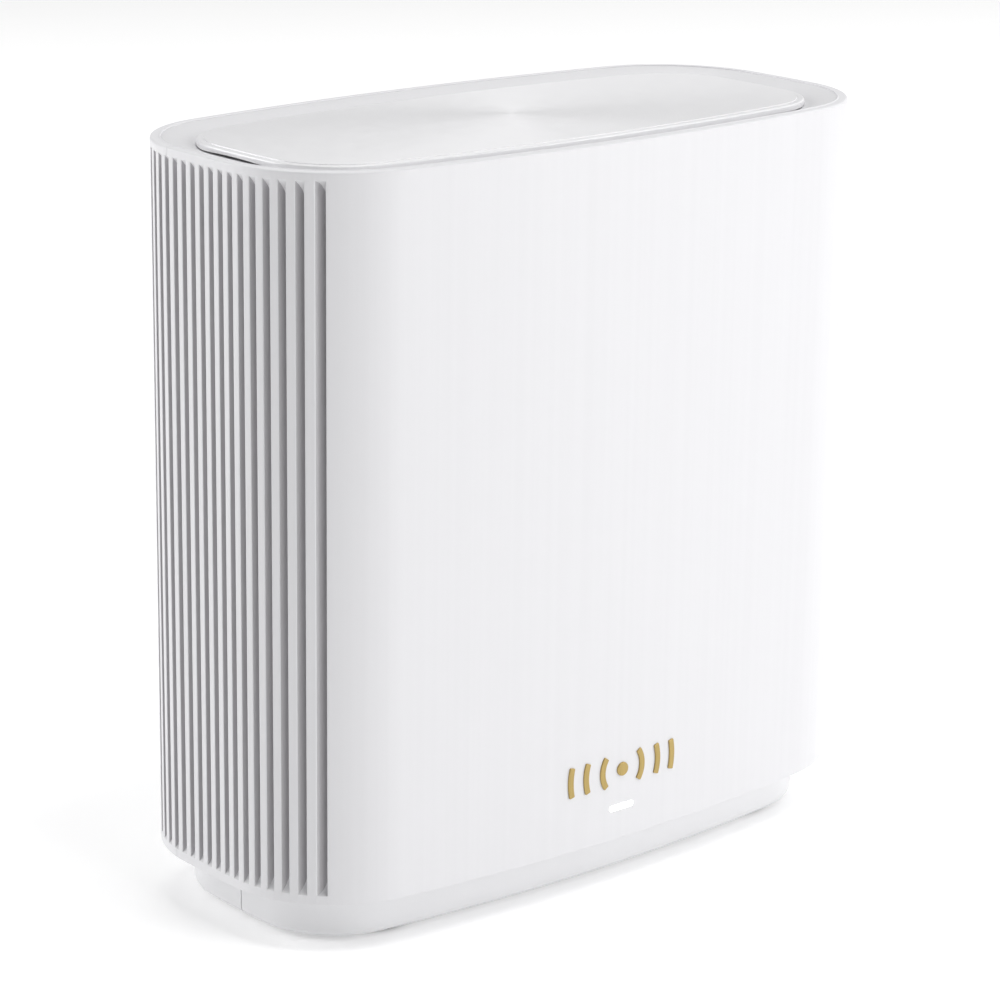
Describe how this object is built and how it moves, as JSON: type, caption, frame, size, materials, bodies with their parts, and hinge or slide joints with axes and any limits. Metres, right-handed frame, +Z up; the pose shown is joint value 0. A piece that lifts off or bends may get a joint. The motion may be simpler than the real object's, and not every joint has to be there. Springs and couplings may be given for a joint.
{
  "type": "wireless router",
  "caption": "Tall slim wireless router with ribbed ends, a dished top with a floating plate, a recessed base and a rear panel of network sockets and push buttons.",
  "frame": {"origin": "centre of the footprint, on the plane of the rubber feet", "axes": "+X along the width, to the viewer's right from the front; -Y out of the front; +Z up"},
  "size_m": [0.16, 0.0772, 0.161],
  "materials": {
    "shell_white": "satin white moulded plastic with a very fine vertical grain",
    "bezel_white": "satin white moulded plastic",
    "plate_white": "white with a fine concentric spun texture",
    "base_white": "satin white moulded plastic",
    "grille_grey": "matt grey plastic",
    "label_grey": "blank matt film",
    "foot_rubber": "matt grey rubber",
    "screw_steel": "zinc-plated steel",
    "emblem_gold": "satin gold plating",
    "light_white": "clear white light guide, lit",
    "panel_grey": "matt white plastic",
    "button_white": "satin white plastic",
    "socket_metal": "bright tinned steel",
    "plastic_black": "matt black plastic",
    "board_green": "green solder mask",
    "sink_aluminium": "natural extruded aluminium",
    "pad_pink": "soft thermal pad"
  },
  "bodies": {
    "housing": {"front_shell": "shell_white", "rear_cover": "shell_white", "top_bezel": "bezel_white", "top_plate": "plate_white", "vent_grille": "grille_grey", "base_front": "base_white", "base_rear": "base_white", "label_plate": "label_grey", "foot_1": "foot_rubber", "foot_2": "foot_rubber", "foot_3": "foot_rubber", "foot_4": "foot_rubber", "base_screw_1": "screw_steel", "base_screw_2": "screw_steel", "base_screw_3": "screw_steel", "base_screw_4": "screw_steel", "emblem": "emblem_gold", "light_guide": "light_white", "status_led": "light_white", "port_panel": "panel_grey", "wan_jack": "socket_metal", "lan_jack_1": "socket_metal", "lan_jack_2": "socket_metal", "lan_jack_3": "socket_metal", "usb_socket": "socket_metal", "dc_inlet": "plastic_black", "power_switch": "plastic_black", "wps_switch": "plastic_black", "reset_switch": "plastic_black", "main_board": "board_green", "inner_frame": "plastic_black", "heatsink_front": "sink_aluminium", "heatsink_rear": "sink_aluminium", "processor_can": "socket_metal", "processor_pad": "pad_pink", "radio_can_left": "socket_metal", "radio_pad_left": "pad_pink", "radio_can_right": "socket_metal", "radio_pad_right": "pad_pink", "antenna_left_front": "board_green", "antenna_left_rear": "board_green", "antenna_right_front": "board_green", "antenna_right_rear": "board_green", "antenna_top_left": "board_green", "antenna_top_right": "board_green", "board_screw_1": "screw_steel", "board_screw_2": "screw_steel", "board_screw_3": "screw_steel", "board_screw_4": "screw_steel"},
    "power_key": {"power_button": "button_white"},
    "wps_key": {"wps_button": "button_white"},
    "reset_key": {"reset_button": "plastic_black"}
  },
  "joints": [
    {"name": "power_press", "type": "slide", "parent": "housing", "child": "power_key", "axis": [0, -1, 0], "range_m": [0, 0.0025], "stiffness_N_per_m": 600},
    {"name": "wps_press", "type": "slide", "parent": "housing", "child": "wps_key", "axis": [0, -1, 0], "range_m": [0, 0.0012], "stiffness_N_per_m": 500},
    {"name": "reset_press", "type": "slide", "parent": "housing", "child": "reset_key", "axis": [0, -1, 0], "range_m": [0, 0.0008], "stiffness_N_per_m": 400}
  ]
}
